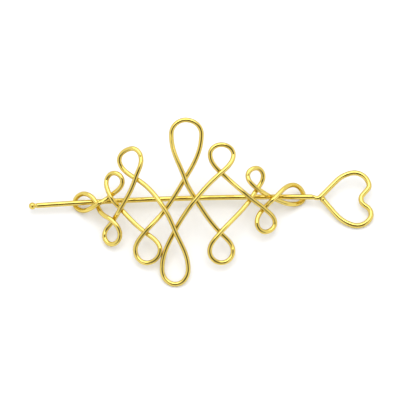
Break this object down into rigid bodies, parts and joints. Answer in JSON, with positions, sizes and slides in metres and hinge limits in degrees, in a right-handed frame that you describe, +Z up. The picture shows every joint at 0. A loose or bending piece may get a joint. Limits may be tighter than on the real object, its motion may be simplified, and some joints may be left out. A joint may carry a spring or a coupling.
{
  "type": "hair stick with wire hair slide",
  "caption": "Diamond-shaped hair slide woven from one looped gold wire, held by a thin hair stick with a ball tip and an open wire heart.",
  "frame": {"origin": "under the middle of the whole ornament, on the table that it lies on", "axes": "+X along the stick towards its heart, +Y towards the slide's raised edge, +Z up from the table"},
  "size_m": [0.1485, 0.0658, 0.0304],
  "materials": {
    "gold_plated_wire": "polished gold plating"
  },
  "bodies": {
    "slide": {"woven_slide": "gold_plated_wire"},
    "stick": {"stick": "gold_plated_wire"}
  },
  "joints": [
    {"name": "stick_slide", "type": "slide", "parent": "slide", "child": "stick", "axis": [1, 0.0062, 0], "range_m": [-0.009, 0.125]}
  ]
}
